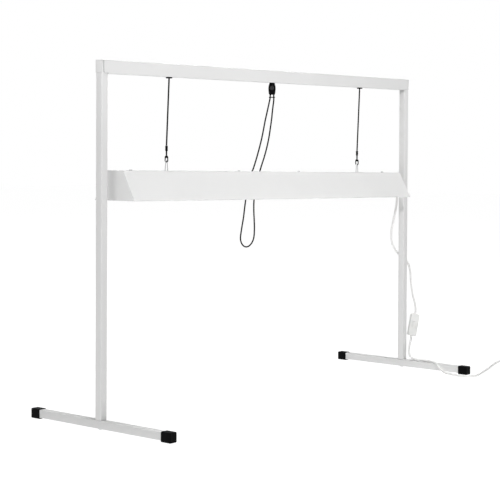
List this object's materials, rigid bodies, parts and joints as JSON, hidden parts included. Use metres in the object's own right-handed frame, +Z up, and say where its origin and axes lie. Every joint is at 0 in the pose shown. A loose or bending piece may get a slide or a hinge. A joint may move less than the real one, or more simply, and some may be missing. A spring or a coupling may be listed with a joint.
{
  "type": "plant stand with grow light",
  "caption": "White steel stand with T-shaped legs and a top bar, carrying a long fluorescent grow light that hangs on black cords whose height is set by a spring lock.",
  "frame": {"origin": "on the floor, midway between the two legs and centred under the top bar", "axes": "+X along the top bar towards the end that the mains lead leaves, +Y towards the back, +Z up"},
  "size_m": [1.6745, 0.5195, 0.885],
  "materials": {
    "painted_tube": "satin white powder coat",
    "painted_sheet": "semi-gloss white baked enamel",
    "black_plastic": "black moulded, faint sheen",
    "lift_cord": "black braided cord",
    "zinc_steel": "bright zinc plate",
    "ballast_case": "plain",
    "lamp_metal": "satin",
    "lamp_glass": "white phosphor-coated tube",
    "white_plastic": "white moulded",
    "white_cable": "white flexible vinyl"
  },
  "bodies": {
    "frame": {"foot_left": "painted_tube", "foot_right": "painted_tube", "upright_left": "painted_tube", "upright_right": "painted_tube", "top_bar": "painted_tube", "foot_cap_left_front": "black_plastic", "foot_cap_left_rear": "black_plastic", "foot_cap_right_front": "black_plastic", "foot_cap_right_rear": "black_plastic", "cord_guide_left": "black_plastic", "cord_guide_right": "black_plastic", "lock_body": "black_plastic", "cord_tie": "black_plastic", "bar_cord_left": "lift_cord", "bar_cord_right": "lift_cord", "foot_bolt_left": "zinc_steel", "foot_bolt_right": "zinc_steel", "leg_block_left": "zinc_steel", "leg_block_right": "zinc_steel", "bar_bolt_left": "zinc_steel", "bar_bolt_right": "zinc_steel", "rivet_nut_left": "zinc_steel", "rivet_nut_right": "zinc_steel", "switch_back": "white_plastic", "switch_front": "white_plastic", "plug": "white_plastic", "lead_tail": "white_cable", "lead_coil": "white_cable", "lead_end": "white_cable"},
    "light": {"hood": "painted_sheet", "end_panel_left": "painted_sheet", "end_panel_right": "painted_sheet", "ballast_housing": "painted_sheet", "ballast": "ballast_case", "terminal_block": "white_plastic", "housing_screw_1": "zinc_steel", "housing_screw_2": "zinc_steel", "housing_screw_3": "zinc_steel", "housing_screw_4": "zinc_steel", "lamp_tube": "lamp_glass", "lamp_cap_left": "lamp_metal", "lamp_cap_right": "lamp_metal", "lamp_holder_left": "white_plastic", "lamp_holder_right": "white_plastic", "hanger_wire_left": "zinc_steel", "hanger_wire_right": "zinc_steel", "hanger_ring_left": "black_plastic", "hanger_ring_right": "black_plastic", "cord_end_left": "lift_cord", "cord_end_right": "lift_cord", "cord_sleeve_left": "black_plastic", "cord_sleeve_right": "black_plastic", "hanging_cord_left": "lift_cord", "hanging_cord_right": "lift_cord", "strain_relief": "white_cable", "lead_drop": "white_cable"},
    "spare_loop": {"spare_cord": "lift_cord"},
    "lock_button": {"lock_button": "black_plastic"},
    "rocker": {"switch_rocker": "white_plastic"}
  },
  "joints": [
    {"name": "light_height", "type": "slide", "parent": "frame", "child": "light", "axis": [0, 0, 1], "range_m": [-0.36, 0.15], "deforming": ["hanging_cord_left", "hanging_cord_right", "lead_drop"]},
    {"name": "spare_loop_length", "type": "slide", "parent": "frame", "child": "spare_loop", "axis": [0, 0, 1], "range_m": [-0.15, 0.36], "deforming": ["spare_cord"]},
    {"name": "lock_press", "type": "slide", "parent": "frame", "child": "lock_button", "axis": [0.7771, 0.6293, 0], "range_m": [0, 0.0022], "stiffness_N_per_m": 700, "springref_m": -0.003},
    {"name": "switch_throw", "type": "hinge", "parent": "frame", "child": "rocker", "pos_m": [0.70235, -0.0052, 0.12485], "axis": [0.7558, -0.6157, -0.2231], "range_deg": [-7, 0]}
  ],
  "couplings": [
    {"joint": "spare_loop_length", "follows": "light_height", "ratio": -1}
  ]
}
